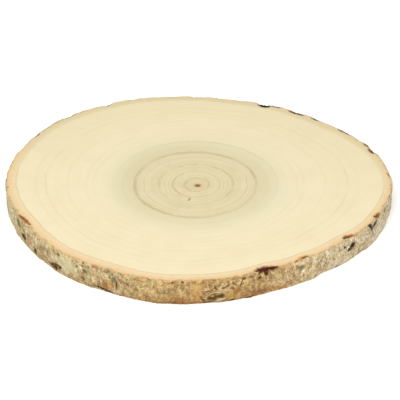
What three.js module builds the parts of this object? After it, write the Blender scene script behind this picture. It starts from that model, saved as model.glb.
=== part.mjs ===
// A slice of poplar trunk: one round of wood sawn across the grain, sanded on both faces,
// with its bark left on all the way round. Millimetres, +Z up out of the top face,
// origin under the middle of the slice, on the surface that it lies on.
import * as THREE from 'three';
import { mergeGeometries, mergeVertices } from 'three/addons/utils/BufferGeometryUtils.js';

// Driving dimensions.
const THICKNESS = 24;

// How far the bark stands from the pith, at even turns from +X towards +Y.
// The trunk is widest to the left and right and a little flat at the front.
const TRUNK_RADII = [
  175, 175, 165, 162, 158, 163, 170, 175, 176,
  173, 163, 157, 151, 149, 145, 145, 152, 165,
];

// The wall is divided into this many strips round the trunk and rows down its height.
const STRIPS = 288;
const ROWS = 8;

// The saw crumbles the bark a little along both cut edges.
const WORN_EDGE = { depth: 0.7, height: 3 };

// Bark furrows run with the grain, so they cross the wall from face to face and lean slightly.
// ways: how many go round the trunk; depth: in millimetres; lean: turns of the wave over the height.
const FURROWS = [
  { ways: 13, depth: 0.35, lean: 0.10, start: 0.4 },
  { ways: 31, depth: 0.25, lean: -0.22, start: 2.1 },
  { ways: 47, depth: 0.20, lean: 0.35, start: 4.4 },
  { ways: 74, depth: 0.15, lean: -0.50, start: 1.3 },
];

// Places where the bark is broken, split or knotted. turn: degrees round the pith from +X;
// height: above the lower face; wide, high: half sizes of the hollow; deep: how far it goes in.
const FLAWS = [
  // Chips along the upper edge, from the right end round the back to the left end.
  { turn: 20, height: 24, wide: 8, high: 6, deep: 1.2 },
  { turn: 27, height: 24, wide: 8, high: 8, deep: 1.6 },
  { turn: 56.5, height: 24, wide: 12, high: 6, deep: 1.6 },
  { turn: 66, height: 24, wide: 7, high: 5, deep: 1.3 },
  { turn: 121.5, height: 24, wide: 6, high: 5, deep: 1.2 },
  { turn: 194, height: 21, wide: 7, high: 5, deep: 0.8 },
  // Slots where the bark has lifted off the bast, along the front.
  { turn: 201, height: 24, wide: 7, high: 3.5, deep: 1.6 },
  { turn: 308, height: 24, wide: 6, high: 3.5, deep: 1.8 },
  { turn: 326.5, height: 24, wide: 6, high: 3.5, deep: 1.8 },
  // The split under the rim, the knot, and the pits, eye and crack in the bark's face.
  { turn: 294, height: 22, wide: 10, high: 4, deep: 2.4 },
  { turn: 276, height: 8.5, wide: 9, high: 4.5, deep: 1.8 },
  { turn: 218, height: 6, wide: 7, high: 4, deep: 1.2 },
  { turn: 327, height: 14.5, wide: 5, high: 4.5, deep: 1.4 },
  { turn: 339.5, height: 18, wide: 5.5, high: 7, deep: 1.6 },
  { turn: 348, height: 20, wide: 6, high: 6, deep: 1.2 },
  // Chips along the lower edge at the front right.
  { turn: 316.5, height: 0, wide: 8, high: 6, deep: 2.2 },
  { turn: 333, height: 0, wide: 8, high: 6, deep: 1.8 },
];

const FULL_TURN = 2 * Math.PI;

// The trunk's smooth outline round the pith, closed through the radii.
function makeTrunkLine() {
  const points = TRUNK_RADII.map((radius, index) => {
    const turn = (FULL_TURN * index) / TRUNK_RADII.length;
    return new THREE.Vector3(radius * Math.cos(turn), radius * Math.sin(turn), 0);
  });
  return new THREE.CatmullRomCurve3(points, true, 'centripetal');
}

const trunkLine = makeTrunkLine();

// How far the worn edges, furrows and flaws take the bark in or out at a place on the wall.
function barkRelief(turn, radius, height) {
  const edgeGap = Math.min(height, THICKNESS - height);
  const wear = Math.max(0, 1 - edgeGap / WORN_EDGE.height);
  let relief = -WORN_EDGE.depth * wear * wear;
  for (const { ways, depth, lean, start } of FURROWS) {
    relief += depth * Math.sin(ways * turn + FULL_TURN * lean * (height / THICKNESS) + start);
  }
  for (const flaw of FLAWS) {
    const flawTurn = THREE.MathUtils.degToRad(flaw.turn);
    const gap = THREE.MathUtils.euclideanModulo(turn - flawTurn + Math.PI, FULL_TURN) - Math.PI;
    const across = (gap * radius) / flaw.wide;
    const along = (height - flaw.height) / flaw.high;
    relief -= flaw.deep * Math.exp(-(across * across + along * along));
  }
  return relief;
}

// A point of the bark, on one strip's edge at one height, measured from the pith.
function barkPoint(strip, height) {
  const point = trunkLine.getPointAt((strip % STRIPS) / STRIPS);
  const radius = Math.hypot(point.x, point.y);
  const turn = Math.atan2(point.y, point.x);
  const stretch = 1 + barkRelief(turn, radius, height) / radius;
  return new THREE.Vector3(point.x * stretch, point.y * stretch, height);
}

// The bark wall: a plane of strips and rows, rolled round the trunk.
function makeBarkWall() {
  const wall = new THREE.PlaneGeometry(STRIPS, THICKNESS, STRIPS, ROWS);
  const position = wall.attributes.position;
  for (let index = 0; index < position.count; index += 1) {
    const strip = Math.round(position.getX(index) + STRIPS / 2);
    const height = position.getY(index) + THICKNESS / 2;
    position.setXYZ(index, ...barkPoint(strip, height));
  }
  return wall;
}

// A sawn face: the flat shape inside the bark's edge at one height.
function makeSawnFace(height) {
  const edge = Array.from({ length: STRIPS }, (_, strip) => {
    const point = barkPoint(strip, height);
    return new THREE.Vector2(point.x, point.y);
  });
  const face = new THREE.ShapeGeometry(new THREE.Shape(edge));
  face.translate(0, 0, height);
  return face;
}

// Turns a face over, so that it looks down.
function turnOver(face) {
  face.index.array.reverse();
  return face;
}

// Wood, bast and bark grew together, so the whole slice is one closed body.
function makeSlice() {
  const shells = [makeBarkWall(), makeSawnFace(THICKNESS), turnOver(makeSawnFace(0))];
  for (const shell of shells) {
    shell.deleteAttribute('normal');
    shell.deleteAttribute('uv');
  }
  const body = mergeVertices(mergeGeometries(shells));
  body.computeBoundingBox();
  const middle = body.boundingBox.getCenter(new THREE.Vector3());
  body.translate(-middle.x, -middle.y, 0);
  body.computeVertexNormals();
  return body;
}

const paleWood = new THREE.MeshStandardMaterial({ color: 0xf3e6c4, roughness: 0.7, metalness: 0 });
const slice = new THREE.Mesh(makeSlice(), paleWood);
slice.name = 'wood_slice';

const model = new THREE.Group();
model.add(slice);

export default model;
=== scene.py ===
# %% [markdown]
# # A slice of poplar in its bark
# The slice is one round sawn across a young poplar's trunk and sanded on both faces. Its looks come
# from what a tree is: a pith, yearly rings round it, a greyish heart, pale sapwood, then the thin
# green-grey cambium, the peach-coloured bast and a rough outer bark. The frame gives its shape and
# size in metres, so this script only adds what the eye sees: the finer surface and the finish.

# %% The fixed frame
import math

import bpy
import numpy as np
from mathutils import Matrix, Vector, noise


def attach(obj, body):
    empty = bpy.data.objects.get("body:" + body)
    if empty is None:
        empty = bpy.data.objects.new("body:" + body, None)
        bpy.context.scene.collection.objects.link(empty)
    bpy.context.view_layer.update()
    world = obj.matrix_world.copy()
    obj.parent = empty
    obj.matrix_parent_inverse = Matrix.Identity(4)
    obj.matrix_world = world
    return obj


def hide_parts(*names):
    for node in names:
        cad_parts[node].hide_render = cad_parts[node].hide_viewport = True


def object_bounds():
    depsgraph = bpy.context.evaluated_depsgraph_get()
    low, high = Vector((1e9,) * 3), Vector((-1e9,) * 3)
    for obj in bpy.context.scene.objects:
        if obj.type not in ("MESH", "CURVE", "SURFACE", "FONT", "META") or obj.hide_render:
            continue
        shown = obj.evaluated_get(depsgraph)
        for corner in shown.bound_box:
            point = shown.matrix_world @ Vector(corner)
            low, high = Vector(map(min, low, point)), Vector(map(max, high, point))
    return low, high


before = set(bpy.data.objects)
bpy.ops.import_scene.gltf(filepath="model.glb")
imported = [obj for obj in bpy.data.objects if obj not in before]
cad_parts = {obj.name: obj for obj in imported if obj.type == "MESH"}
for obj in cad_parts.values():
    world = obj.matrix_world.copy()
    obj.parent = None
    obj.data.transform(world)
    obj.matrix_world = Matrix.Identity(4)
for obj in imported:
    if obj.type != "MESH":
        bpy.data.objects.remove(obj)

cad_low, cad_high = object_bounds()
THICK = cad_high.z - cad_low.z
MM = 0.001
print("CAD box in mm", [round(side / MM, 1) for side in cad_high - cad_low])

# %% [markdown]
# ## Camera
# The slice is seen from the front and a good way above, at 33 degrees, where a round growth ring
# looks about half as tall as it is wide. A long lens from a metre and a half keeps the far rim from
# shrinking. The camera is a tracked object: it stands on a circle round the slice and looks at a
# point just under its middle, which leaves the slice a little above the middle of the picture.

# %% Camera
LOOK_DOWN = math.radians(33)
AWAY = 1.5
LONG_LENS = 149
LOOK_AT = Vector((0.0011, -0.0040, 0.0058))
stand_on = Vector((0, -AWAY * math.cos(LOOK_DOWN), AWAY * math.sin(LOOK_DOWN) + THICK / 2))

bpy.ops.object.select_all(action="DESELECT")
bpy.ops.object.camera_add(location=stand_on)
camera = bpy.context.object
camera.rotation_euler = (LOOK_AT - stand_on).to_track_quat("-Z", "Y").to_euler()
camera.data.lens = LONG_LENS
bpy.context.scene.camera = camera
print("camera is raised", round(math.degrees(camera.rotation_euler.x), 1), "degrees from straight down")

# %% [markdown]
# ## Floor and light
# A white studio table and a bright even sky light the slice from all round, as a light tent does.
# One large soft lamp above the camera adds a little direction, so the bark's hollows read. The
# table glows very faintly, as a lit white sweep does, so it stays white beside the slice. The
# Standard view shows colours as they are, where a film-like view would grey the cream wood.

# %% Floor and light
STUDIO_LEVEL = 1.17  # the light is this much stronger than one that shows a paint as it is
TABLE_GLOW = 0.1
SKY_STRENGTH = 0.89
LAMP_PLACE = (-0.35, -1.3, 1.5)
LAMP_SIZE = 1.2
LAMP_WATTS = 20.5


def seen_as(red, green, blue):
    """The paint that looks like this 0 to 255 colour in the studio, made linear for Blender."""
    steps = [value / 255 for value in (red, green, blue)]
    linear = [s / 12.92 if s <= 0.04045 else ((s + 0.055) / 1.055) ** 2.4 for s in steps]
    return [channel / STUDIO_LEVEL for channel in linear] + [1.0]


bpy.ops.mesh.primitive_plane_add(size=8, location=(0, 0, 0))
table = bpy.context.object
table.name = "studio_table"
white = bpy.data.materials.new("white_table")
white.use_nodes = True
white_paint = white.node_tree.nodes["Principled BSDF"]
white_paint.inputs["Base Color"].default_value = (0.98, 0.98, 0.98, 1)
white_paint.inputs["Roughness"].default_value = 0.9
white_paint.inputs["Specular IOR Level"].default_value = 0.1
white_paint.inputs["Emission Color"].default_value = (1, 1, 1, 1)
white_paint.inputs["Emission Strength"].default_value = TABLE_GLOW
table.data.materials.append(white)

sky = bpy.data.worlds.new("light_tent")
sky.use_nodes = True
sky.node_tree.nodes["Background"].inputs["Color"].default_value = (1, 1, 1, 1)
sky.node_tree.nodes["Background"].inputs["Strength"].default_value = SKY_STRENGTH
bpy.context.scene.world = sky

bpy.ops.object.light_add(type="AREA", location=LAMP_PLACE)
soft_lamp = bpy.context.object
soft_lamp.name = "soft_lamp"
soft_lamp.rotation_euler = (Vector((0, 0, 0)) - soft_lamp.location).to_track_quat("-Z", "Y").to_euler()
soft_lamp.data.size = LAMP_SIZE
soft_lamp.data.energy = LAMP_WATTS
bpy.context.scene.view_settings.view_transform = "Standard"

# %% [markdown]
# ## The bark wall
# The bark could be painted on a plain disc, but its edge is seen against the table, so its lumps
# have to be real. An open cylinder, a little wider than the slice, is cut into fine rows and strips
# and then shrunk on to the CAD wall, which gives it the trunk's outline and its broken places.

# %% Helpers for picking and moving vertices
def drop_selection():
    bpy.ops.object.select_all(action="DESELECT")


def places(piece):
    """Where every vertex is, in metres: one row of x, y, z for each."""
    spots = np.empty(3 * len(piece.data.vertices))
    piece.data.vertices.foreach_get("co", spots)
    return spots.reshape(-1, 3)


def move_to(piece, spots):
    piece.data.vertices.foreach_set("co", spots.ravel())
    piece.data.update()


def pick(piece, chosen):
    """Selects the vertices where chosen is true, and goes into edit mode with them."""
    mesh = piece.data
    mesh.vertices.foreach_set("select", chosen)
    ends = np.empty(2 * len(mesh.edges), dtype=np.int32)
    mesh.edges.foreach_get("vertices", ends)
    mesh.edges.foreach_set("select", chosen[ends.reshape(-1, 2)].all(axis=1))
    mesh.polygons.foreach_set("select", np.zeros(len(mesh.polygons), dtype=bool))
    bpy.ops.object.mode_set(mode="EDIT")
    bpy.ops.mesh.select_mode(type="EDGE")


def apply_modifier(piece, kind, **settings):
    """Adds one modifier with its settings and applies it, as by hand."""
    modifier = piece.modifiers.new(kind.lower(), kind)
    for name, value in settings.items():
        setattr(modifier, name, value)
    bpy.ops.object.modifier_apply(modifier=modifier.name)


# %% An open cylinder, cut into rows and shrunk on to the CAD wall
STRIPS = 1440
ROWS = 34
BLANK_RADIUS = 0.2
SAME_HEIGHT = 0.01 * MM
PITH = Vector((-0.0012, -0.0068, 0))

drop_selection()
bpy.ops.mesh.primitive_cylinder_add(
    vertices=STRIPS, radius=BLANK_RADIUS, depth=THICK, end_fill_type="NOTHING", location=(0, 0, THICK / 2)
)
slice_piece = bpy.context.object
slice_piece.name = "sanded_slice"
bpy.ops.object.transform_apply(location=True, rotation=True, scale=True)

bpy.ops.object.mode_set(mode="EDIT")
bpy.ops.mesh.select_all(action="SELECT")
bpy.ops.mesh.select_mode(type="EDGE")
bpy.ops.object.mode_set(mode="OBJECT")
edge_ends = np.empty(2 * len(slice_piece.data.edges), dtype=np.int32)
slice_piece.data.edges.foreach_get("vertices", edge_ends)
end_heights = places(slice_piece)[edge_ends.reshape(-1, 2), 2]
slice_piece.data.edges.foreach_set("select", np.ptp(end_heights, axis=1) > THICK / 2)
slice_piece.data.polygons.foreach_set("select", np.zeros(STRIPS, dtype=bool))
bpy.ops.object.mode_set(mode="EDIT")
bpy.ops.mesh.subdivide(number_cuts=ROWS - 1)

# The rays that find the wall would slip past its very edges, so the rows are drawn together first.
DRAWN_IN = 0.98
middle = (0, 0, THICK / 2)
bpy.ops.mesh.select_all(action="SELECT")
bpy.ops.transform.resize(value=(1, 1, DRAWN_IN), center_override=middle)
bpy.ops.object.mode_set(mode="OBJECT")
apply_modifier(
    slice_piece, "SHRINKWRAP", target=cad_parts["wood_slice"], wrap_method="PROJECT",
    use_positive_direction=False, use_negative_direction=True,
)
# The CAD wall is faceted: smoothing across it, but not up it, rounds the facets off.
apply_modifier(slice_piece, "SMOOTH", factor=0.5, iterations=14, use_z=False)
bpy.ops.object.mode_set(mode="EDIT")
bpy.ops.mesh.select_all(action="SELECT")
bpy.ops.transform.resize(value=(1, 1, 1 / DRAWN_IN), center_override=middle)
bpy.ops.object.mode_set(mode="OBJECT")
wall = places(slice_piece)
print("wall:", len(wall), "vertices, from", wall[:, 2].min() / MM, "to", wall[:, 2].max() / MM, "mm")

# %% How far the smooth trunk line is from the pith, in every direction
def turn_and_reach(spots):
    """Each place's direction round the pith, in radians, and its distance from it."""
    east, north = spots[:, 0] - PITH.x, spots[:, 1] - PITH.y
    return np.arctan2(north, east) % math.tau, np.hypot(east, north)


wall_turn, wall_reach = turn_and_reach(wall)
DIRECTIONS = 720
TRUNK_WAVES = 24
which = (wall_turn / math.tau * DIRECTIONS).astype(int) % DIRECTIONS
line = np.bincount(which, wall_reach, DIRECTIONS) / np.bincount(which, minlength=DIRECTIONS)
waves = np.fft.rfft(line)
waves[TRUNK_WAVES:] = 0  # only bends longer than about 40 mm belong to the trunk: the rest is bark
trunk_line = np.fft.irfft(waves, DIRECTIONS)


def trunk_reach(turn):
    """How far the trunk's smooth outline is from the pith in these directions."""
    headings = (np.arange(DIRECTIONS) + 0.5) / DIRECTIONS * math.tau
    return np.interp(turn, headings, trunk_line, period=math.tau)


MEAN_REACH = float(trunk_line.mean())
print("trunk reaches", round(trunk_line.min() / MM), "to", round(trunk_line.max() / MM), "mm")

# %% [markdown]
# ## Bark relief
# Poplar bark is thin. Where it is old it has broken into small plates with furrows between them,
# and where it is young it is nearly smooth, with fine upright wrinkles. Each size of relief is one
# Displace modifier with a procedural texture, measured by an empty that is stretched up the grain.
# A vertex group holds the rough relief back on the young side.

# %% Rough and young sides
# Each rough side in degrees round the trunk: its middle and its half width.
ROUGH_SIDES = [(222, 34), (262, 26), (292, 14), (20, 40), (95, 45), (150, 25)]


def side_weight(turn, middle, half):
    """1 at the middle of a side of the trunk, fading to 0 over its half width. All in degrees."""
    gap = (np.degrees(turn) - middle + 180) % 360 - 180
    return np.exp(-((gap / half) ** 2))


roughness_of_side = sum(side_weight(wall_turn, *side) for side in ROUGH_SIDES)
roughness_of_side = np.clip(0.25 + 0.75 * roughness_of_side, 0, 1)
rough_group = slice_piece.vertex_groups.new(name="rough_bark")
STEPS_OF_WEIGHT = 20
for step in range(STEPS_OF_WEIGHT + 1):
    members = np.flatnonzero(np.round(roughness_of_side * STEPS_OF_WEIGHT) == step)
    rough_group.add(members.tolist(), step / STEPS_OF_WEIGHT, "REPLACE")


# %% Displace by size: plates, wrinkles and grit
def relief(kind, across, up, height, level=0.5, **settings):
    """Pushes the bark in and out. across and up are the texture's size in mm, height its depth in mm."""
    bpy.ops.object.empty_add(location=(0.0137, 0.0071, 0.0029))
    ruler = bpy.context.object
    ruler.scale = (across * MM, across * MM, up * MM)
    bpy.context.view_layer.update()
    texture = bpy.data.textures.new(kind.lower(), kind)
    for name, value in settings.items():
        setattr(texture, name, value)
    drop_selection()
    slice_piece.select_set(True)
    bpy.context.view_layer.objects.active = slice_piece
    apply_modifier(
        slice_piece, "DISPLACE", texture=texture, texture_coords="OBJECT",
        texture_coords_object=ruler, strength=height * MM, mid_level=level, vertex_group="rough_bark",
    )
    bpy.data.objects.remove(ruler)


relief("VORONOI", 6.5, 11, 1.1, level=0.35, weight_1=-1, weight_2=1, noise_scale=1.0)
relief("MUSGRAVE", 5, 14, 0.5, musgrave_type="RIDGED_MULTIFRACTAL", noise_scale=1.0)
relief("CLOUDS", 1.6, 2.4, 0.55, noise_scale=1.0, noise_depth=2)

rims = places(slice_piece)
rims[:, 2] = wall[:, 2]  # the saw cut both faces flat, so relief never lifts the wall's rows
move_to(slice_piece, rims)


def rim_reaches(height, finest_wave):
    """How far the rim at this height is from the pith, as headings and reaches."""
    on_rim = np.abs(rims[:, 2] - height) < SAME_HEIGHT
    turn, reach = turn_and_reach(rims[on_rim])
    order = np.argsort(turn)
    headings = np.linspace(0, math.tau, STRIPS, endpoint=False)
    even = np.interp(headings, turn[order], reach[order], period=math.tau)
    waves = np.fft.rfft(even)
    waves[finest_wave:] = 0
    return headings, np.fft.irfft(waves, STRIPS)


EVERY_CHIP = 720
BROAD_BENDS = 30
TOP_RIM, UNDER_RIM = rim_reaches(THICK, EVERY_CHIP), rim_reaches(0, EVERY_CHIP)
TOP_TREND, UNDER_TREND = rim_reaches(THICK, BROAD_BENDS), rim_reaches(0, BROAD_BENDS)
print("relief moves the bark by up to", round(np.abs(rims - wall).max() / MM, 2), "mm")

# %% [markdown]
# ## Sawn faces
# Each sawn face could be one big polygon, but the splits in the bast are cut into it, and its finish
# needs to know how far every place is from the bark. So the rim is extruded inwards in small steps,
# finely where the bast is and coarsely over the plain wood, until the last ring closes on the pith.

# %% Extrude the rim inwards, ring by ring
CORE_STRIPS = 360


def shrink_ring(height, old_inset, new_inset):
    """Extrudes the picked ring and draws it in towards the pith. Insets are in mm from the bark."""
    bpy.ops.mesh.extrude_edges_indiv()
    share = (MEAN_REACH / MM - new_inset) / (MEAN_REACH / MM - old_inset)
    bpy.ops.transform.resize(value=(share, share, 1), center_override=(PITH.x, PITH.y, height))


def close_face(height, fine_insets, core_insets):
    """Fills one sawn face, from the rim at this height to the pith."""
    pick(slice_piece, np.abs(places(slice_piece)[:, 2] - height) < SAME_HEIGHT)
    inset = 0
    for next_inset in fine_insets + core_insets[:1]:
        shrink_ring(height, inset, next_inset)
        inset = next_inset

    # The plain wood needs fewer strips: the ring's vertices are gathered in bunches and merged.
    bpy.ops.object.mode_set(mode="OBJECT")
    ring = np.empty(len(slice_piece.data.vertices), dtype=bool)
    slice_piece.data.vertices.foreach_get("select", ring)
    spots = places(slice_piece)
    turn, _ = turn_and_reach(spots[ring])
    bunch = (np.floor(turn / math.tau * CORE_STRIPS) + 0.5) / CORE_STRIPS * math.tau
    reach = trunk_reach(bunch) * (1 - inset * MM / MEAN_REACH)
    spots[ring, 0] = PITH.x + np.cos(bunch) * reach
    spots[ring, 1] = PITH.y + np.sin(bunch) * reach
    move_to(slice_piece, spots)
    bpy.ops.object.mode_set(mode="EDIT")
    bpy.ops.mesh.remove_doubles(threshold=0.01 * MM)

    for next_inset in core_insets[1:]:
        shrink_ring(height, inset, next_inset)
        inset = next_inset
    bpy.ops.mesh.extrude_edges_indiv()
    bpy.ops.mesh.merge(type="CENTER")
    bpy.ops.object.mode_set(mode="OBJECT")


TOP_FINE = (0.4, 0.9, 1.5, 2.2, 3.0, 3.9, 5.0, 6.4, 8.2, 10.5)
TOP_CORE = (13, 22, 34, 47, 60, 73, 86, 99, 112, 124, 134, 143, 150, 155, 158)
UNDER_FINE = (0.5, 1.2, 2.4, 5.0, 10.5)
UNDER_CORE = (13, 34, 60, 86, 112, 134, 150, 157)
close_face(THICK, TOP_FINE, TOP_CORE)
close_face(0, UNDER_FINE, UNDER_CORE)
bpy.ops.object.mode_set(mode="EDIT")
bpy.ops.mesh.select_all(action="SELECT")
bpy.ops.mesh.normals_make_consistent(inside=False)
bpy.ops.object.mode_set(mode="OBJECT")
triangles = sum(len(face.vertices) - 2 for face in slice_piece.data.polygons)
print("slice has", triangles, "triangles")

# %% [markdown]
# ## What the finish needs to know
# A colour pattern that follows the tree can't be read from plain x, y and z, because the trunk isn't
# round. So every vertex is given its growth age, the tree's radius in mm when that wood grew, which
# is nearly round at the heart and takes the trunk's outline at the bark. It also gets its distance
# in from the bark, how wide the bast is there, and how strongly that side of the trunk shows each
# ring, stain and kind of bark. The finish reads these as attributes.

# %% Give each vertex a number or a colour
def give_numbers(name, numbers):
    attribute = slice_piece.data.attributes.new(name, "FLOAT", "POINT")
    attribute.data.foreach_set("value", np.asarray(numbers, dtype=np.float32))


def give_colours(name, colours):
    attribute = slice_piece.data.color_attributes.new(name, "FLOAT_COLOR", "POINT")
    attribute.data.foreach_set("color", np.asarray(colours, dtype=np.float32).ravel())


def ease(low, high, value):
    """0 below low, 1 above high, and a smooth step between."""
    share = np.clip((value - low) / (high - low), 0, 1)
    return share * share * (3 - 2 * share)


# %% Growth age, distance in from the bark, and width of the bast
ROUND_HEART = 0.3  # inside this share of the way out, the rings are true circles


def growth_age(spots):
    """The tree's mean radius in mm when the wood at each place grew."""
    turn, reach = turn_and_reach(spots)
    outline = trunk_reach(turn) / MEAN_REACH
    share = np.clip(reach / trunk_reach(turn), 0, 1.05)
    for _ in range(12):
        like_trunk = ease(ROUND_HEART, 1.0, share)
        drift = np.sin(math.pi * np.clip(share, 0, 1)) * (2 * np.cos(turn) - 2 * np.sin(turn)) * MM
        share = (reach + drift) / (MEAN_REACH * (1 - like_trunk + like_trunk * outline))
        share = np.clip(share, 0, 1.05)
    return share * MEAN_REACH / MM


def from_list(turn, stops):
    """Reads a value between (degrees, value) stops set round the trunk."""
    headings, values = zip(*stops)
    return np.interp(np.degrees(turn), headings, values, period=360)


BAST_WIDTHS = [(0, 6.8), (20, 8.0), (45, 9.6), (90, 7.4), (135, 8.4), (165, 8.6), (195, 9.4), (230, 9.0),
               (270, 8.0), (300, 8.2), (328, 8.0), (345, 6.6)]
spots = places(slice_piece)
turn, reach = turn_and_reach(spots)


def distance_in(top_line, under_line):
    """How far in from the nearer rim each place is, in mm."""
    top = np.interp(turn, *top_line, period=math.tau)
    under = np.interp(turn, *under_line, period=math.tau)
    return (np.where(spots[:, 2] > THICK / 2, top, under) - reach) / MM


inset = distance_in(TOP_RIM, UNDER_RIM)
give_numbers("growth_age", growth_age(spots))
give_numbers("inset", inset)
give_numbers("trunk_inset", distance_in(TOP_TREND, UNDER_TREND))
give_numbers("bast_width", from_list(turn, BAST_WIDTHS))
PEACH_SIDES = [(0, 0.1), (190, 0.05), (225, 0.14), (262, 0.08), (300, 0.05), (340, 0.14)]
WEATHERED_SIDES = [(0, 0.25), (20, 0.7), (90, 0.9), (150, 0.8), (174, 0.1), (345, 0)]
give_numbers("peach", from_list(turn, PEACH_SIDES))
give_numbers("weathered", from_list(turn, WEATHERED_SIDES))

# %% How strong each standing-out ring and the grey stain are, side by side
LATE_RING = [(0, 0.5), (20, 1), (125, 1), (142, 0.5), (160, 1), (255, 1), (275, 0.55), (345, 0.4)]
MIDDLE_RING = [(0, 0.9), (110, 1), (135, 0.35), (160, 0.6), (172, 1), (195, 0.5), (260, 0.35),
               (310, 0.4), (330, 0.9)]
FIRST_RING = [(0, 1.2), (60, 0.7), (180, 1.1), (250, 0.8), (300, 0.6)]
INNER_RING = [(0, 0.2), (60, 0.1), (120, 0.5), (160, 1), (215, 1), (255, 0.3), (330, 0.1)]
rings_by_side = [from_list(turn, ring) for ring in (LATE_RING, MIDDLE_RING, FIRST_RING, INNER_RING)]
give_colours("ring_sides", np.column_stack(rings_by_side))
STAIN_SIDES = [(0, 0.6), (30, 0.65), (60, 0.35), (100, 0.75), (140, 0.9), (175, 0.65), (215, 0.4), (250, 0.1),
               (290, 0.05), (330, 0.45)]
STAIN_LINE = [(0, 0.15), (22, 0.5), (40, 1), (100, 1), (125, 0.35), (160, 0.1), (330, 0.05)]
give_numbers("stain_side", from_list(turn, STAIN_SIDES))
give_numbers("stain_line", from_list(turn, STAIN_LINE))

# %% How deep each place lies in the bark, and which growth each side favours
crevice = np.full(len(spots), 0.5)
crevice[: len(wall)] += (reach[: len(wall)] - wall_reach) / MM  # the wall's vertices still come first
give_numbers("crevice", crevice)
MOSSY_SIDES = [(0, 0.2), (40, 0.6), (100, 0.9), (170, 0.8), (200, 0.95), (238, 0.9), (252, 0.35), (262, 0.1),
               (300, 0.1)]
TAWNY_SIDES = [(0, 0.15), (90, 0.6), (180, 0.2), (205, 0.4), (240, 0.5), (256, 1.0), (292, 1.0), (303, 0.3),
               (340, 0.15)]
GREY_SIDES = [(0, 0.8), (60, 0.3), (188, 0.7), (210, 0.4), (250, 0.15), (300, 0.2), (316, 0.7), (345, 1)]
favoured = [from_list(turn, side) for side in (MOSSY_SIDES, TAWNY_SIDES, GREY_SIDES)]
give_colours("bark_sides", np.column_stack(favoured + [np.ones(len(spots))]))
print("growth age runs from", round(growth_age(spots).min(), 1), "to", round(growth_age(spots).max(), 1))

# %% [markdown]
# ## Marks of the tree's life
# No pattern can place the split bark, the knot and the stains that make this slice this slice, so
# they are listed one by one. The wall and the face are thought of as one strip of paper folded over the
# rim: a mark's place is its direction round the trunk and its height up that strip, where 0 is the
# table, 24 the rim, and more than 24 lies on the top face. Each mark is a ragged oval that may cut
# in, and it leaves its colour on the vertices. The side that faces away gets marks of the same
# kinds, placed by chance with a fixed seed, so that every run makes the same slice.

# %% The colours of marks, and a ragged oval
MARK_COLOURS = {
    "black": (56, 38, 10), "loam": (88, 62, 18), "soot": (54, 39, 12), "maroon": (82, 26, 2),
    "umber": (94, 58, 24), "russet": (150, 96, 46), "sepia": (124, 83, 38), "brick": (182, 110, 76),
    "rust": (168, 104, 50), "orange": (208, 150, 84), "ochre": (204, 152, 80), "mustard": (190, 152, 78),
    "tan": (206, 162, 104),
    "olive": (132, 118, 70), "moss": (98, 98, 58), "slate": (118, 112, 84), "plum": (116, 90, 62),
    "lichen": (212, 206, 166), "straw": (202, 178, 126), "beige": (220, 202, 160), "bone": (238, 232, 214),
    "bark": (150, 116, 76),
}
noise.seed_set(5)  # without a seed of its own, this noise starts from the clock
ragged = np.array([noise.noise_vector(Vector(spot) * 300) for spot in spots])
strip_height = np.where(spots[:, 2] > THICK / 2, THICK / MM + inset, -inset)
on_wall = (spots[:, 2] > SAME_HEIGHT) & (spots[:, 2] < THICK - SAME_HEIGHT)
strip_height[on_wall] = spots[on_wall, 2] / MM
mark_colours = np.zeros((len(spots), 4))
cut_depth = np.zeros(len(spots))


def mark(degrees, up, half_wide, half_high, colour, lean=0, deep=0.0, strength=1.0, soft=0.35):
    """One ragged oval, sizes in mm. lean turns it anticlockwise, deep cuts it in, soft fades its edge."""
    arc = (turn - math.radians(degrees) + math.pi) % math.tau - math.pi
    across = arc * trunk_reach(math.radians(degrees)) / MM
    above = strip_height - up
    across = across + ragged[:, 0] * min(1.2, 0.4 * half_wide)
    above = above + ragged[:, 1] * min(1.2, 0.4 * half_high)
    slope = math.radians(lean)
    along = across * math.cos(slope) + above * math.sin(slope)
    aside = above * math.cos(slope) - across * math.sin(slope)
    reach_out = np.hypot(along / half_wide, aside / half_high)
    cover = (1 - ease(1 - soft, 1 + soft, reach_out)) * (np.abs(arc) < 0.5)
    cover_colour = cover * strength
    old = mark_colours[:, 3]
    new = cover_colour + old * (1 - cover_colour)
    share = np.divide(cover_colour, new, out=np.zeros_like(new), where=new > 0)
    paint = np.array(seen_as(*MARK_COLOURS[colour])[:3])
    mark_colours[:, :3] += (paint - mark_colours[:, :3]) * share[:, None]
    mark_colours[:, 3] = new
    cut_depth[:] = np.where(deep < 0, cut_depth + deep * cover, np.maximum(cut_depth, deep * cover))


# %% Broad patches: lichen, stains and bands
mark(224, 13, 12, 6.5, "lichen", lean=6, strength=0.55, soft=0.5)
mark(206, 14, 9, 8, "lichen", strength=0.35, soft=0.5)
mark(188, 12, 11, 12, "lichen", strength=0.35, soft=0.6)
mark(345, 5, 20, 6, "bone", strength=0.35, soft=0.6)
mark(322, 3.5, 12, 4, "bone", strength=0.3, soft=0.6)
mark(270, 12, 3.6, 13, "ochre", strength=0.5, soft=0.6)
mark(261, 12.5, 6, 4, "olive", strength=0.4, soft=0.5)
mark(255, 18, 1.2, 4.5, "olive", strength=0.5)
mark(257, 17, 0.8, 4, "olive", strength=0.4)
mark(261, 6.5, 9, 2, "rust", lean=10, strength=0.4, soft=0.5)
mark(264, 1.6, 22, 1.8, "umber", strength=0.45, soft=0.6)
mark(265.5, 4, 5, 2.2, "rust", strength=0.4, soft=0.5)
mark(240, 9, 4.8, 5, "ochre", strength=0.5, soft=0.6)
mark(239.2, 6.4, 2.6, 4.2, "sepia", lean=30, strength=0.7, soft=0.5)
mark(241.4, 10.5, 1.6, 2.4, "rust", strength=0.5, soft=0.5)
mark(280.6, 5.8, 3.4, 2.8, "mustard", strength=0.75, soft=0.5)
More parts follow.
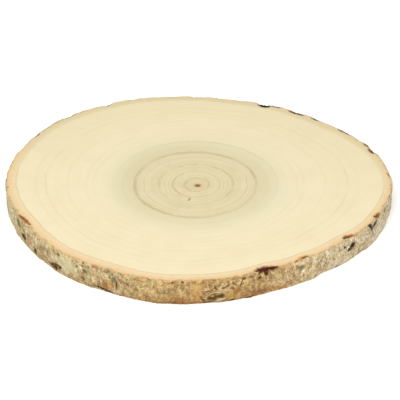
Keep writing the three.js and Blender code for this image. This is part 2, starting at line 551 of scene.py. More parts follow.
mark(282.6, 3.4, 4.2, 1.8, "mustard", strength=0.6, soft=0.5)
mark(283.2, 9.2, 3.0, 2.1, "rust", strength=0.65, soft=0.5)
mark(291.5, 4.6, 9, 2.2, "sepia", lean=-4, strength=0.6, soft=0.5)
mark(298.5, 2.6, 7, 1.8, "rust", lean=-14, strength=0.6, soft=0.5)
mark(301.5, 22, 7, 1.4, "tan", lean=-8, strength=0.6)
mark(205.4, 10.5, 4.0, 4.6, "brick", strength=0.6, soft=0.6)
mark(208.5, 16, 0.9, 4.2, "orange", strength=0.7)

# %% Splits through the bast and the bark
mark(176, 23, 7, 1.2, "black", lean=6, deep=0.6)
mark(200.2, 25.0, 8.6, 2.3, "rust", lean=6, deep=0.8, soft=0.25)
mark(198.4, 24.6, 4.2, 1.4, "sepia", lean=8, deep=1.0)
mark(202.6, 25.4, 3.6, 1.4, "rust", lean=8, deep=1.0)
mark(294.1, 24.8, 10.8, 3.8, "maroon", lean=-11, deep=1.6, soft=0.2)
mark(292.8, 24.6, 5.0, 1.4, "black", lean=-12, deep=1.8)
mark(292.0, 22.4, 3.2, 1.3, "maroon", lean=24, deep=1.4)
mark(294.0, 20.6, 2.0, 3.6, "maroon", lean=-6, deep=1.4)
mark(295.8, 22.4, 2.8, 1.2, "maroon", lean=-24, deep=1.4)
mark(307.2, 25.4, 7.4, 2.2, "ochre", lean=8, deep=0.5)
mark(308.8, 25.8, 3.8, 1.3, "sepia", lean=12, deep=0.8)
mark(305.0, 24.4, 2.2, 0.8, "sepia", lean=8, deep=0.6)
mark(327.9, 25.8, 5.2, 3.2, "rust", lean=-6, deep=0.8, soft=0.25)
mark(326.9, 25.7, 3.6, 2.0, "umber", lean=-6, deep=1.2)
mark(342.8, 24.2, 4.8, 3.2, "russet", lean=-14, deep=1.0, soft=0.25)
mark(342.4, 24.8, 2.8, 1.7, "umber", lean=-10, deep=1.2)
mark(337.6, 20.6, 6.0, 1.9, "black", lean=-50, deep=1.2)
mark(340.4, 18.2, 5.2, 2.3, "black", lean=16, deep=1.2)
mark(338.8, 15.4, 3.0, 2.0, "black", lean=70, deep=1.2)
mark(338.4, 12.4, 4.4, 1.1, "black", lean=76, deep=1.0)
mark(334, 25, 5, 0.8, "orange", strength=0.5)

# %% Chips along the far rim
mark(65.6, 25.8, 6.4, 3.6, "soot", lean=-6, deep=1.4, soft=0.25)
mark(61.6, 25.0, 4.6, 1.6, "umber", deep=1.0)
mark(52.4, 25.3, 5.6, 1.8, "umber", lean=-6, deep=1.0)
mark(53.4, 25.4, 3.6, 1.8, "soot", lean=-6, deep=1.2)
mark(55.4, 25.6, 3.2, 1.4, "umber", deep=1.0)
mark(46.0, 25.0, 4.6, 1.6, "umber", deep=0.6)
mark(33.0, 25.0, 7.5, 1.3, "sepia", lean=6, deep=0.6)
mark(35.4, 24.9, 2.6, 0.9, "umber", lean=8, deep=0.7)
mark(20.0, 25.4, 5.0, 2.2, "sepia", lean=-8, deep=0.6)
mark(18.8, 25.2, 2.4, 1.3, "umber", deep=0.8)
mark(23.4, 25.2, 4.0, 1.2, "sepia", deep=0.5)
mark(5.3, 24.6, 4.4, 1.2, "rust", strength=0.8)
mark(90.8, 24.3, 5.0, 1.1, "bark", deep=0.4)
mark(82.5, 24.3, 2.4, 1.0, "bark", deep=0.4)
mark(121.5, 24.4, 4.4, 1.4, "sepia", deep=0.6)
mark(136, 24.3, 5.0, 1.1, "bark", deep=0.4)
mark(150, 24.4, 4.0, 1.2, "umber", deep=0.6)
mark(138, 24.6, 26, 1.8, "bark", strength=0.3, soft=0.5)

# %% The oval knot and the fibres that fan over it
mark(275.9, 5.8, 10.0, 5.4, "umber", lean=4, deep=0.4, strength=0.5, soft=0.5)
mark(276.0, 5.6, 8.8, 4.4, "beige", lean=4, deep=-0.5, strength=0.6)
mark(276.1, 5.4, 7.6, 3.4, "umber", lean=6, deep=0.5, strength=0.8, soft=0.25)
mark(276.2, 5.6, 6.9, 2.9, "straw", lean=6, deep=0.4, strength=0.5, soft=0.25)
mark(275.0, 5.0, 4.4, 2.6, "loam", lean=4, deep=1.0, soft=0.3)
mark(278.0, 5.8, 4.0, 1.7, "loam", lean=10, deep=1.2, soft=0.3)
mark(275.0, 6.0, 1.9, 1.0, "tan", strength=0.75)
mark(277.6, 4.4, 2.2, 0.6, "sepia", lean=12, strength=0.7)
mark(279.2, 6.4, 2.0, 0.5, "tan", lean=12, strength=0.5)
mark(278.0, 3.0, 4.0, 0.7, "beige", lean=8, strength=0.7)
mark(276.6, 8.4, 6.0, 0.6, "sepia", lean=5, strength=0.7, deep=0.3)
mark(277.2, 9.8, 5.0, 0.6, "beige", lean=2, strength=0.8)
mark(271.9, 3.9, 5.0, 1.0, "sepia", lean=-52, deep=0.7)
mark(273.6, 0.9, 5.0, 1.0, "umber", strength=0.8, deep=0.5)
mark(281.5, 0.9, 3.2, 0.9, "black", lean=6, deep=0.5)
mark(287.5, 0.9, 4.0, 0.9, "umber", lean=8, deep=0.5)
mark(273.4, 11.8, 2.4, 0.8, "sepia", lean=10, deep=0.4)
mark(276.1, 14.9, 3.6, 0.8, "sepia", lean=-58, deep=0.6)
mark(275.3, 14.2, 3.4, 0.6, "sepia", lean=62, deep=0.4)
mark(277.4, 14.4, 4.0, 0.7, "lichen", lean=78, strength=0.6)
mark(278.5, 14.6, 1.6, 1.2, "loam", deep=0.6)
mark(279.7, 16.3, 3.6, 0.8, "sepia", lean=32, deep=0.5)
mark(281.6, 12.8, 2.4, 0.8, "sepia", lean=-24, deep=0.5)
mark(282.2, 17.4, 3.2, 0.7, "sepia", lean=-50, deep=0.4)
mark(284.6, 16.6, 3.8, 0.7, "sepia", lean=74, deep=0.4)
mark(285.6, 20.6, 1.9, 1.3, "umber", deep=0.4)
mark(274.0, 18.5, 2.0, 0.8, "sepia", lean=-30, strength=0.8, deep=0.4)

# %% Small scars and flecks on the bark
mark(187, 10, 0.6, 3.4, "black", deep=0.3)
mark(191.8, 21, 1.2, 1.1, "umber", deep=0.4)
mark(197.6, 16.4, 4.6, 3.8, "olive", lean=-10, deep=0.4, strength=0.8)
mark(197.0, 15.4, 2.8, 2.6, "moss", lean=-10, deep=0.6)
mark(200.8, 7.4, 4.2, 3.0, "umber", lean=-12, deep=0.7)
mark(200.2, 6.8, 2.4, 1.8, "black", lean=-12, deep=0.8)
mark(203.8, 13.8, 2.2, 2.2, "olive", strength=0.8)
mark(208.4, 4.2, 2.8, 3.6, "umber", lean=-8, deep=0.7)
mark(218.8, 4.4, 7.6, 3.0, "umber", lean=20, deep=1.2)
mark(216.6, 3.0, 2.6, 1.3, "loam", lean=20, deep=1.6)
mark(219.2, 2.6, 2.0, 1.6, "black", lean=-20, deep=1.6)
mark(221.4, 6.8, 1.9, 1.7, "black", deep=1.4)
mark(218.4, 6.2, 1.6, 0.9, "loam", lean=30, deep=1.2)
mark(220.0, 4.8, 1.6, 1.2, "olive", strength=0.8)
mark(217.4, 5.0, 1.5, 0.9, "olive", strength=0.7)
mark(221.2, 19.8, 1.7, 1.3, "umber", deep=0.5)
mark(228.6, 16.5, 1.1, 1.1, "umber", deep=0.4)
mark(230.8, 19.2, 2.4, 0.9, "moss", deep=0.5)
mark(231.6, 14.8, 1.8, 1.7, "plum", deep=0.6)
mark(231.2, 6.8, 1.6, 1.3, "umber", deep=0.4)
mark(235.1, 22.6, 2.8, 0.9, "brick")
mark(235.6, 15.5, 2.4, 2.0, "brick", strength=0.45, soft=0.6)
mark(238.4, 1.9, 9, 1.0, "black", lean=-6, deep=1.0)
mark(242.0, 14.4, 2.6, 3.2, "slate", strength=0.85, deep=0.5)
mark(240.8, 16.0, 1.2, 1.0, "moss", deep=0.4)
mark(243.1, 10.4, 0.8, 4.4, "black", deep=0.6)
mark(246.6, 14.4, 1.7, 1.6, "umber", deep=0.4)
mark(246.5, 14.5, 0.7, 0.7, "tan")
mark(248.6, 5.5, 2.1, 1.6, "olive", strength=0.8)
mark(262, 22, 1.4, 0.8, "umber", deep=0.3)
mark(265.2, 22.4, 1.5, 0.8, "umber", deep=0.3)
mark(284.6, 22.4, 3.4, 1.0, "rust", lean=-14, strength=0.6)
mark(287.6, 20.8, 2.6, 1.0, "rust", lean=20, strength=0.6)
mark(291.4, 17.6, 2.4, 0.7, "black", lean=15, deep=0.5)
mark(288.5, 20.5, 2.4, 0.8, "slate", deep=0.4)
mark(306.8, 16.6, 3.0, 2.0, "olive", lean=16, deep=0.5)
mark(307.4, 12.4, 1.5, 1.3, "bone")
mark(314.5, 13, 8, 0.4, "sepia", lean=88, strength=0.6)
mark(316.2, 12, 8, 0.4, "sepia", lean=90, strength=0.7, deep=0.4)
mark(312.8, 14, 6, 0.4, "bark", lean=86, strength=0.6)
mark(321.9, 1.2, 1.8, 1.0, "black", deep=0.6)
mark(328.9, 14.2, 3.0, 3.5, "black", lean=-20, deep=1.0)
mark(327.6, 11.4, 2.0, 1.2, "black", lean=-30, deep=0.8)
mark(326.6, 14.4, 1.5, 2.2, "bone", lean=-20)
mark(325.0, 17.0, 2.6, 1.0, "umber", lean=-30, deep=0.4)
mark(326.8, 11.1, 1.5, 0.9, "black", deep=0.5)
mark(348.8, 18.8, 1.9, 2.1, "moss", deep=0.5)
mark(353.9, 23.6, 2.2, 1.0, "sepia", deep=0.4)
mark(6.4, 25.9, 1.4, 1.0, "orange", strength=0.8)

# %% Scars of the same kinds on the half of the bark that faces away
far_side = np.random.default_rng(11)
for kind, how_many, wide, high, deep in (
    ("lichen", 9, 7, 4, 0), ("rust", 8, 6, 1.8, 0), ("olive", 8, 2.6, 2.2, 0.2), ("umber", 16, 2.4, 1.2, 0.6),
    ("black", 14, 1.7, 1.5, 0.8), ("moss", 8, 1.6, 1.9, 0.4), ("bone", 6, 1.2, 1.2, 0),
    ("sepia", 12, 3.6, 0.6, 0.4),
):
    for _ in range(how_many):
        heading, up, wider, higher, lean = far_side.uniform((-2, 2, 0.7, 0.7, -60), (172, 21, 1.3, 1.3, 60))
        mark(heading, up, wide * wider, high * higher, kind, lean * (deep > 0), deep, 0.7)

# %% Cut the marks in and keep their colours
sideways = cut_depth * MM * (on_wall | (inset < 1))
spots[:, :2] -= (spots[:, :2] - PITH.xy) / reach[:, None] * sideways[:, None]
spots[:, 2] -= np.where(strip_height >= THICK / MM - 0.01, np.maximum(cut_depth, 0) * MM, 0)
move_to(slice_piece, spots)
give_colours("mark_colour", mark_colours)
print("deepest mark", round(cut_depth.max(), 2), "mm; marked vertices", int((mark_colours[:, 3] > 0.3).sum()))

# %% [markdown]
# ## Finish of the sanded face
# The end grain could be a picture, but a node pattern stays sharp at any distance and runs true
# with the trunk. It is built as the tree built it: tones laid over the growth age, dark latewood
# lines where a year ended, many faint lines between them, a greyish heart with a cool fringe, and
# at the rim the cambium line, the bast and the cut edge of the bark.

# %% A short way to write nodes
class Finish:
    """A material being made. Each method adds a node and gives its output to use in the next."""

    def __init__(self, name, **shader_values):
        self.material = bpy.data.materials.new(name)
        self.material.use_nodes = True
        self.nodes = self.material.node_tree.nodes
        self.links = self.material.node_tree.links
        self.shader = self.nodes["Principled BSDF"]
        for socket, value in shader_values.items():
            self.shader.inputs[socket.replace("_", " ")].default_value = value

    def plug(self, socket, value):
        if isinstance(value, bpy.types.NodeSocket):
            self.links.new(value, socket)
        else:
            socket.default_value = value

    def place(self, stretch=(1, 1, 1), shift=(0, 0, 0)):
        where = self.nodes.new("ShaderNodeTexCoord").outputs["Object"]
        mapping = self.nodes.new("ShaderNodeMapping")
        self.links.new(where, mapping.inputs["Vector"])
        mapping.inputs["Location"].default_value = shift
        mapping.inputs["Scale"].default_value = stretch
        return mapping.outputs["Vector"]

    def attribute(self, name, output="Fac"):
        node = self.nodes.new("ShaderNodeAttribute")
        node.attribute_name = name
        return node.outputs[output]

    def math(self, way, first, second=0.0):
        node = self.nodes.new("ShaderNodeMath")
        node.operation = way
        self.plug(node.inputs[0], first)
        self.plug(node.inputs[1], second)
        return node.outputs[0]

    def times(self, first, second):
        return self.math("MULTIPLY", first, second)

    def plus(self, first, second):
        return self.math("ADD", first, second)

    def minus(self, first, second):
        return self.math("SUBTRACT", first, second)

    def larger(self, first, second):
        return self.math("MAXIMUM", first, second)

    def noise(self, where, size_mm, detail=2.0, rough=0.5):
        """Cloudy noise from 0 to 1 with features about this many mm across."""
        node = self.nodes.new("ShaderNodeTexNoise")
        self.plug(node.inputs["Vector"], where)
        node.inputs["Scale"].default_value = 1 / (size_mm * MM)
        node.inputs["Detail"].default_value = detail
        node.inputs["Roughness"].default_value = rough
        return node.outputs[0]

    def cracks(self, where, size_mm):
        """Distance to the nearest border of a net of cells: 0 on the border."""
        node = self.nodes.new("ShaderNodeTexVoronoi")
        node.feature = "DISTANCE_TO_EDGE"
        self.plug(node.inputs["Vector"], where)
        node.inputs["Scale"].default_value = 1 / (size_mm * MM)
        return node.outputs["Distance"]

    def fade(self, value, low, high, start=0.0, end=1.0):
        """start below low, end above high, with a smooth step between."""
        node = self.nodes.new("ShaderNodeMapRange")
        node.interpolation_type = "SMOOTHSTEP"
        self.plug(node.inputs["Value"], value)
        node.inputs["From Min"].default_value = low
        node.inputs["From Max"].default_value = high
        node.inputs["To Min"].default_value = start
        node.inputs["To Max"].default_value = end
        return node.outputs[0]

    def ramp(self, value, stops, span, colours=True):
        """Reads a colour, or a grey level, from (position, colour) stops over a span such as 0 to 160."""
        node = self.nodes.new("ShaderNodeValToRGB")
        low, high = span
        self.plug(node.inputs[0], self.math("DIVIDE", self.minus(value, low), high - low))
        elements = node.color_ramp.elements
        while len(elements) < len(stops):
            elements.new(0.5)
        for element, (position, paint) in zip(elements, stops):
            element.position = (position - low) / (high - low)
            element.color = seen_as(*paint) if colours else (paint, paint, paint, 1)
        return node.outputs[0]

    def mix(self, amount, under, over):
        node = self.nodes.new("ShaderNodeMix")
        node.data_type = "RGBA"
        self.plug(node.inputs[0], amount)
        self.plug(node.inputs[6], under)
        self.plug(node.inputs[7], over)
        return node.outputs[2]

    def bump(self, height, depth_mm):
        node = self.nodes.new("ShaderNodeBump")
        self.plug(node.inputs["Height"], height)
        node.inputs["Distance"].default_value = depth_mm * MM
        self.links.new(node.outputs[0], self.shader.inputs["Normal"])


# %% Growth age with the small wanderings of real rings
face = Finish("sanded_end_grain", Roughness=0.6, Specular_IOR_Level=0.22)
where = face.place()
age = face.attribute("growth_age")
slow = face.minus(face.noise(where, 45, 1), 0.5)
quick = face.minus(face.noise(where, 7, 3), 0.5)
age = face.plus(age, face.times(slow, 3.0))
age = face.plus(age, face.times(quick, 3.4))

# %% Tones of the wood from the pith out to the cambium
WOOD_TONES = [
    (0, (222, 207, 164)), (9, (221, 206, 163)), (16, (227, 214, 173)), (31, (227, 214, 173)),
    (35, (223, 210, 168)), (44, (228, 216, 176)), (54, (226, 213, 172)),
    (62, (229, 218, 178)), (69, (231, 221, 183)),
    (75, (236, 225, 189)), (82, (239, 227, 189)), (100, (241, 228, 190)), (120, (241, 227, 188)),
    (145, (242, 228, 189)), (160, (242, 227, 188)),
]
colour = face.ramp(age, WOOD_TONES, (0, 160))

# %% Latewood lines where a year ended: (age, darkness)
HEART_YEARS = [(16, 0.5), (21.5, 0.85), (25.2, 0.6), (29, 0.7), (39, 0.35), (46.6, 0.8), (50.5, 0.4)]
OUTER_YEARS = [(65, 0.3), (73.8, 0.12), (82, 0.1), (90, 0.2), (96, 0.2), (104, 0.1), (112, 0.22), (121, 0.12),
               (129, 0.34), (137, 0.24)]


def year_lines(years, span, before, after):
    """Each year darkens slowly towards its end and then starts pale again."""
    stops = []
    for end, dark in years:
        stops += [(end - before, 0), (end, dark), (end + after, 0)]
    return face.ramp(age, stops, span, colours=False)


def one_ring(end, before, after):
    """One ring on its own: dark at its end, fading inwards, with a sharper outer side."""
    inner = face.fade(age, end - before, end)
    outer = face.fade(age, end + after, end)
    return face.times(inner, outer)


heart_lines = year_lines(HEART_YEARS, (0, 60), 1.7, 0.9)
outer_lines = year_lines(OUTER_YEARS, (60, 160), 2.2, 1.0)
lines = face.larger(heart_lines, outer_lines)
uneven = face.fade(face.noise(where, 26, 3), 0.36, 0.62, 0.3, 1.0)
lines = face.times(lines, uneven)

# %% The four rings that stand out, each stronger on some sides
ring_sides = face.nodes.new("ShaderNodeSeparateColor")
face.links.new(face.attribute("ring_sides", "Color"), ring_sides.inputs[0])
dotted = face.fade(face.noise(where, 7, 4, 0.7), 0.38, 0.6, 0.3, 1.0)
late_ring = face.times(one_ring(54.8, 3.6, 2.0), ring_sides.outputs[0])
middle_ring = face.times(one_ring(33.4, 2.6, 2.0), ring_sides.outputs[1])
first_ring = face.times(one_ring(11.2, 2.4, 2.0), ring_sides.outputs[2])
strong = face.larger(face.times(middle_ring, 0.85), face.times(first_ring, 0.8))
inner_ring = face.times(one_ring(21.5, 2.2, 1.6), face.attribute("ring_sides", "Alpha"))
strong = face.larger(strong, face.times(inner_ring, 0.9))
strong = face.times(strong, dotted)
strong = face.larger(strong, face.times(late_ring, face.fade(uneven, 0.3, 1.0, 0.6, 1.0)))

# %% Fine lines between the years
fine_turns = face.math("SINE", face.times(age, math.tau / 3.05))
fine_lines = face.fade(fine_turns, 0.1, 1.0)
in_heart = face.fade(age, 50, 66, 0.45, 0.06)
broken = face.fade(face.noise(where, 9, 3), 0.4, 0.62)
fine_lines = face.times(face.times(fine_lines, in_heart), broken)
lines = face.larger(lines, fine_lines)
colour = face.mix(face.times(lines, 0.8), colour, seen_as(202, 187, 143))

# %% The grey stain round the heart, its sharp outer ring, and a cool fringe
smudge = face.times(face.minus(face.noise(where, 20, 3), 0.5), 12)
stain_edge = face.plus(age, smudge)
stain = face.times(face.fade(age, 53, 56), face.fade(stain_edge, 84, 60))
edge_side = face.attribute("stain_line")
past_line = face.times(face.fade(age, 73, 75.5, 0.0, 0.7), edge_side)
stain = face.times(stain, face.minus(1.0, past_line))
stain = face.times(stain, face.attribute("stain_side"))
colour = face.mix(face.times(stain, 0.46), colour, seen_as(206, 196, 154))
edge_line = face.times(one_ring(73.8, 2.0, 1.0), edge_side)
colour = face.mix(face.times(edge_line, 0.5), colour, seen_as(200, 187, 146))
fringe = face.times(face.fade(stain_edge, 60, 72), face.fade(stain_edge, 92, 76))
fringe = face.times(fringe, face.attribute("stain_side"))
colour = face.mix(face.times(fringe, 0.22), colour, seen_as(221, 220, 180))
colour = face.mix(face.times(strong, 0.64), colour, seen_as(180, 166, 124))
warm_patch = face.fade(face.noise(face.place(shift=(0.4, 0, 0)), 13, 2), 0.5, 0.68)
warm = face.times(warm_patch, face.fade(age, 52, 40))
colour = face.mix(face.times(warm, 0.35), colour, seen_as(216, 192, 150))

# %% Pores and soft clouds in the wood
pores = face.noise(where, 0.55, 2, 0.6)
colour = face.mix(face.fade(pores, 0.55, 0.75, 0.0, 0.2), colour, seen_as(214, 196, 150))
clouds = face.noise(where, 20, 3)
colour = face.mix(face.fade(clouds, 0.35, 0.7, 0.0, 0.13), colour, seen_as(222, 200, 156))

# %% The pith with its warm halo, and a small check in front of it
def dome(x, y, long, wide, degrees=0):
    """1 at a spot, falling to 0 over an oval, on both faces. Sizes in mm, long turned by degrees."""
    oval = face.nodes.new("ShaderNodeMapping")
    oval.vector_type = "TEXTURE"
    oval.inputs["Location"].default_value = (x * MM, y * MM, 0)
    oval.inputs["Rotation"].default_value = (0, 0, math.radians(degrees))
    oval.inputs["Scale"].default_value = (long * MM, wide * MM, 1)
    gradient = face.nodes.new("ShaderNodeTexGradient")
    gradient.gradient_type = "SPHERICAL"
    face.links.new(where, oval.inputs["Vector"])
    face.links.new(oval.outputs[0], gradient.inputs[0])
    return gradient.outputs["Fac"]


halo = face.fade(dome(-0.8, -8.2, 9.5, 9.0), 0.0, 0.6, 0.0, 0.75)
colour = face.mix(halo, colour, seen_as(222, 196, 148))
pith = face.fade(dome(-1.0, -8.0, 4.6, 4.2), 0.05, 0.75, 0.0, 0.95)
colour = face.mix(pith, colour, seen_as(120, 84, 48))
check = face.fade(dome(-8.3, -30.5, 4.8, 1.5, 73), 0.1, 0.7, 0.0, 0.75)
colour = face.mix(check, colour, seen_as(156, 124, 84))

# %% The cambium line and the bast
weathered = face.attribute("weathered")
dulled = face.times(face.fade(age, 100, 152, 0.1, 0.5), weathered)
colour = face.mix(dulled, colour, seen_as(230, 216, 174))
from_bark = face.attribute("inset")
bast_width = face.attribute("bast_width")
wavy = face.times(face.minus(face.noise(where, 11, 3), 0.5), 1.8)
trunk_inset = face.plus(face.attribute("trunk_inset"), wavy)
past_cambium = face.minus(trunk_inset, bast_width)
depth_in_bast = face.math("DIVIDE", trunk_inset, bast_width)
bast_colour = face.ramp(depth_in_bast, [
    (0.0, (222, 182, 126)), (0.14, (233, 200, 148)), (0.4, (236, 208, 158)), (0.75, (240, 217, 172)),
    (0.95, (240, 221, 178)), (1.0, (237, 219, 174)),
], (0, 1))
bast_colour = face.mix(face.attribute("peach"), bast_colour, seen_as(240, 184, 134))
fibrous = face.fade(face.noise(where, 3.2, 3, 0.6), 0.45, 0.7, 0.0, 0.26)
bast_colour = face.mix(fibrous, bast_colour, seen_as(226, 176, 122))
bast_colour = face.mix(weathered, bast_colour, seen_as(221, 206, 162))
blur = face.fade(weathered, 0.1, 0.8, 1.0, 5.0)
colour = face.mix(face.fade(face.math("DIVIDE", past_cambium, blur), 0.6, -0.6), colour, bast_colour)
cambium = face.times(face.fade(past_cambium, -0.8, 0.1), face.fade(past_cambium, 1.3, 0.2))
cambium = face.math("DIVIDE", face.times(cambium, 0.6), blur)
colour = face.mix(cambium, colour, seen_as(206, 190, 148))

# %% The cut edge of the bark, and the marks over it
bark_width = face.fade(face.noise(where, 6, 3), 0.35, 0.65, 0.3, 1.7)
cut_bark = face.fade(face.minus(from_bark, bark_width), 0.3, -0.3)
cut_colour = face.mix(weathered, seen_as(204, 172, 122), seen_as(208, 192, 148))
colour = face.mix(cut_bark, colour, cut_colour)
join = face.fade(face.math("ABSOLUTE", face.minus(from_bark, bark_width)), 0.6, 0.1)
join = face.times(join, face.fade(face.noise(where, 6, 4, 0.7), 0.5, 0.64, 0.0, 0.5))
colour = face.mix(join, colour, seen_as(144, 104, 64))
colour = face.mix(face.attribute("mark_colour", "Alpha"), colour, face.attribute("mark_colour", "Color"))

# %% Gloss and relief of the sanded face
face.plug(face.shader.inputs["Base Color"], colour)
face.plug(face.shader.inputs["Roughness"], face.fade(pores, 0.3, 0.8, 0.55, 0.75))
sanding = face.noise(face.place(stretch=(0.02, 1, 1)), 0.7, 1)
pores_and_lines = face.plus(pores, face.times(lines, -0.5))
face.bump(face.plus(face.times(sanding, 0.4), pores_and_lines), 0.06)
print("face finish has", len(face.nodes), "nodes")

# %% [markdown]
# ## Finish of the bark
# Real bark is many things laid over each other: grey-beige cork, tan where the cork has flaked,
# olive algae, pale lichen and dark specks. Each is a noise pattern with its own size, mixed in by
# the side of the trunk it favours. The hollows of the relief also get painted shade, a darker brown.

# %% Bark colours by side
bark = Finish("weathered_bark", Roughness=0.92, Specular_IOR_Level=0.08)
where = bark.place()
upright = bark.place(stretch=(1, 1, 0.55))
bark_sides = bark.attribute("bark_sides", "Color")
sides = bark.nodes.new("ShaderNodeSeparateColor")
bark.links.new(bark_sides, sides.inputs[0])
mossy, tawny, grey = sides.outputs[0], sides.outputs[1], sides.outputs[2]

blotch = bark.noise(where, 6, 3, 0.6)
mottle = bark.noise(upright, 2.0, 4, 0.7)
grit = bark.noise(where, 0.8, 2, 0.6)
tan_tones = [(0.3, (150, 106, 54)), (0.42, (190, 150, 90)), (0.55, (212, 178, 116)), (0.7, (234, 208, 150))]
grey_tones = [(0.3, (164, 142, 106)), (0.42, (212, 192, 154)), (0.55, (226, 210, 172)),
              (0.7, (244, 232, 204))]
moss_tones = [(0.3, (132, 110, 68)), (0.42, (196, 176, 128)), (0.55, (216, 200, 150)), (0.7, (238, 226, 186))]
colour = bark.ramp(mottle, tan_tones, (0, 1))
colour = bark.mix(grey, colour, bark.ramp(mottle, grey_tones, (0, 1)))
colour = bark.mix(mossy, colour, bark.ramp(mottle, moss_tones, (0, 1)))
patch = bark.noise(bark.place(shift=(0, 0, 0.2)), 4.6, 4, 0.66)
colour = bark.mix(bark.fade(patch, 0.46, 0.36, 0.0, 0.65), colour, seen_as(142, 116, 72))
pale_cork = bark.mix(tawny, seen_as(246, 238, 212), seen_as(232, 204, 146))
colour = bark.mix(bark.fade(patch, 0.5, 0.62, 0.0, 0.7), colour, pale_cork)
rust_patch = bark.times(bark.fade(blotch, 0.5, 0.62), tawny)
colour = bark.mix(bark.times(rust_patch, 0.5), colour, seen_as(200, 144, 82))
algae_patch = bark.fade(bark.noise(bark.place(shift=(0.3, 0, 0)), 5, 3, 0.6), 0.5, 0.6)
algae = bark.times(algae_patch, mossy)
colour = bark.mix(bark.times(algae, 0.6), colour, seen_as(166, 156, 100))

# %% Painted shade in the hollows, thin cracks and specks
hollow = bark.attribute("crevice")
# Painted shade: the deeper the bark lies in the relief, the darker brown it is painted.
colour = bark.mix(bark.fade(hollow, 0.4, 0.0, 0.0, 0.55), colour, seen_as(132, 98, 58))
net = bark.cracks(bark.place(stretch=(1, 1, 0.6)), 4.2)
thin = bark.times(bark.fade(net, 0.09, 0.02), bark.fade(blotch, 0.4, 0.6))
colour = bark.mix(bark.times(thin, 0.6), colour, seen_as(120, 90, 56))
specks = bark.fade(bark.noise(bark.place(shift=(0, 0.2, 0)), 1.7, 3, 0.7), 0.56, 0.66)
colour = bark.mix(bark.times(specks, 0.75), colour, seen_as(96, 74, 48))
flecks = bark.fade(grit, 0.62, 0.74)
colour = bark.mix(bark.times(flecks, 0.5), colour, pale_cork)

# %% Bast showing under the lip, and the wall darker brown towards the table
up_wall = bark.nodes.new("ShaderNodeSeparateXYZ")
bark.links.new(where, up_wall.inputs[0])
lip_start = bark.fade(bark.noise(where, 5, 3), 0.35, 0.65, THICK - 3.2 * MM, THICK + 1.2 * MM)
lip = bark.fade(bark.minus(up_wall.outputs["Z"], lip_start), 0.0, 0.8 * MM, 0.0, 0.5)
lip = bark.times(lip, bark.fade(grey, 0.2, 0.9, 1.0, 0.2))
colour = bark.mix(lip, colour, seen_as(232, 188, 132))
# On the tawny sides the wall is painted darker brown towards the table.
foot = bark.fade(up_wall.outputs["Z"], 15 * MM, 1 * MM, 0.0, 0.55)
colour = bark.mix(bark.times(foot, tawny), colour, seen_as(150, 106, 58))

# %% The marks, and wear over them
colour = bark.mix(bark.attribute("mark_colour", "Alpha"), colour, bark.attribute("mark_colour", "Color"))
worn = bark.noise(bark.place(shift=(0.1, 0.1, 0)), 1.5, 3, 0.7)
unmarked = bark.fade(bark.attribute("mark_colour", "Alpha"), 0.0, 0.8, 1.0, 0.5)
worn_dark = bark.times(bark.fade(worn, 0.47, 0.34, 0.0, 0.5), unmarked)
worn_pale = bark.times(bark.fade(worn, 0.54, 0.68, 0.0, 0.45), unmarked)
colour = bark.mix(worn_dark, colour, seen_as(104, 84, 54))
colour = bark.mix(worn_pale, colour, pale_cork)
bark.plug(bark.shader.inputs["Base Color"], colour)
bark.plug(bark.shader.inputs["Roughness"], bark.fade(mottle, 0.3, 0.7, 0.98, 0.8))
bark.bump(bark.plus(mottle, bark.times(grit, 0.5)), 0.6)
print("bark finish has", len(bark.nodes), "nodes")

# %% [markdown]
# ## Put the finishes on
# The two sawn faces are the polygons that look straight up or down, and the rest is bark. The piece
# also gets its own flat map, with the wall in four strips and the faces as two discs, so that its
# finish can be stored evenly.

# %% Which polygon gets which finish
slice_piece.data.materials.clear()
slice_piece.data.materials.append(face.material)
slice_piece.data.materials.append(bark.material)
faces = slice_piece.data.polygons
middles = np.empty(3 * len(faces))
faces.foreach_get("center", middles)
middles = middles.reshape(-1, 3)
corner_counts = np.empty(len(faces), dtype=np.int32)
faces.foreach_get("loop_total", corner_counts)
corner_vertices = np.empty(len(slice_piece.data.loops), dtype=np.int32)
slice_piece.data.loops.foreach_get("vertex_index", corner_vertices)
corner_faces = np.repeat(np.arange(len(faces)), corner_counts)
is_bark = np.minimum.reduceat(corner_vertices < len(wall), np.r_[0, np.cumsum(corner_counts)[:-1]])
faces.foreach_set("material_index", is_bark.astype(np.int32))
print(int(is_bark.sum()), "bark faces and", int((~is_bark).sum()), "sawn faces")

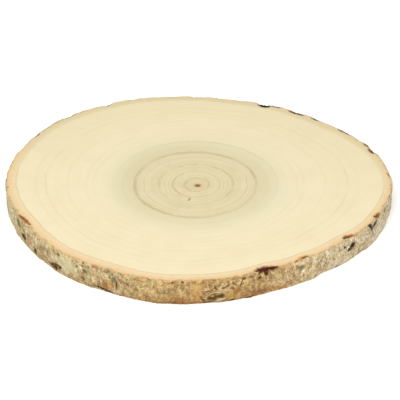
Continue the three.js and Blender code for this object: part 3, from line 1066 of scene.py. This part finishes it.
# %% A flat map of the whole piece, on a square of 1024 by 1024
SQUARE = 1024
STRIP_LONG, STRIP_HIGH, STRIP_STEP = 1000, 88, 96
STRIP_CORNER = (12, 4)
TOP_CORNER, TOP_SCALE = (6, 390), 2.02
UNDER_CORNER, UNDER_SCALE = (1016, 390), (-0.82, 0.82)
flat = np.empty((len(corner_vertices), 2))
corners = spots[corner_vertices]

strip = np.zeros(len(spots))
strip[: len(wall)] = np.round(np.arctan2(wall[:, 1], wall[:, 0]) / math.tau * STRIPS) % STRIPS
corner_strip = strip[corner_vertices]
face_start = np.minimum.reduceat(corner_strip, np.r_[0, np.cumsum(corner_counts)[:-1]])
face_end = np.maximum.reduceat(corner_strip, np.r_[0, np.cumsum(corner_counts)[:-1]])
closes_round = (face_end - face_start > STRIPS / 2)[corner_faces]
corner_strip = np.where(closes_round & (corner_strip < STRIPS / 2), corner_strip + STRIPS, corner_strip)
face_start = np.where(face_end - face_start > STRIPS / 2, STRIPS - 1, face_start)
quarter = (face_start // (STRIPS // 4))[corner_faces]
flat[:, 0] = STRIP_CORNER[0] + (corner_strip / (STRIPS // 4) - quarter) * STRIP_LONG
flat[:, 1] = STRIP_CORNER[1] + quarter * STRIP_STEP + corners[:, 2] / THICK * STRIP_HIGH

on_top = ~is_bark[corner_faces] & (corners[:, 2] > THICK / 2)
under = ~is_bark[corner_faces] & (corners[:, 2] < THICK / 2)
flat[on_top] = TOP_CORNER + (corners[on_top, :2] - cad_low.xy) / MM * TOP_SCALE
flat[under] = UNDER_CORNER + (corners[under, :2] - cad_low.xy) / MM * UNDER_SCALE

bake_map = slice_piece.data.uv_layers[0]
bake_map.name = "OFBake"
bake_map.data.foreach_set("uv", (flat / SQUARE).ravel())
print("map runs from", (flat.min(axis=0) / SQUARE).round(3), "to", (flat.max(axis=0) / SQUARE).round(3))

# %% Smooth shading, and the piece takes the CAD solid's place
SHARPEST_SMOOTH = 50

drop_selection()
slice_piece.select_set(True)
bpy.context.view_layer.objects.active = slice_piece
bpy.ops.object.shade_smooth_by_angle(angle=math.radians(SHARPEST_SMOOTH))

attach(slice_piece, "root")
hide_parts("wood_slice")
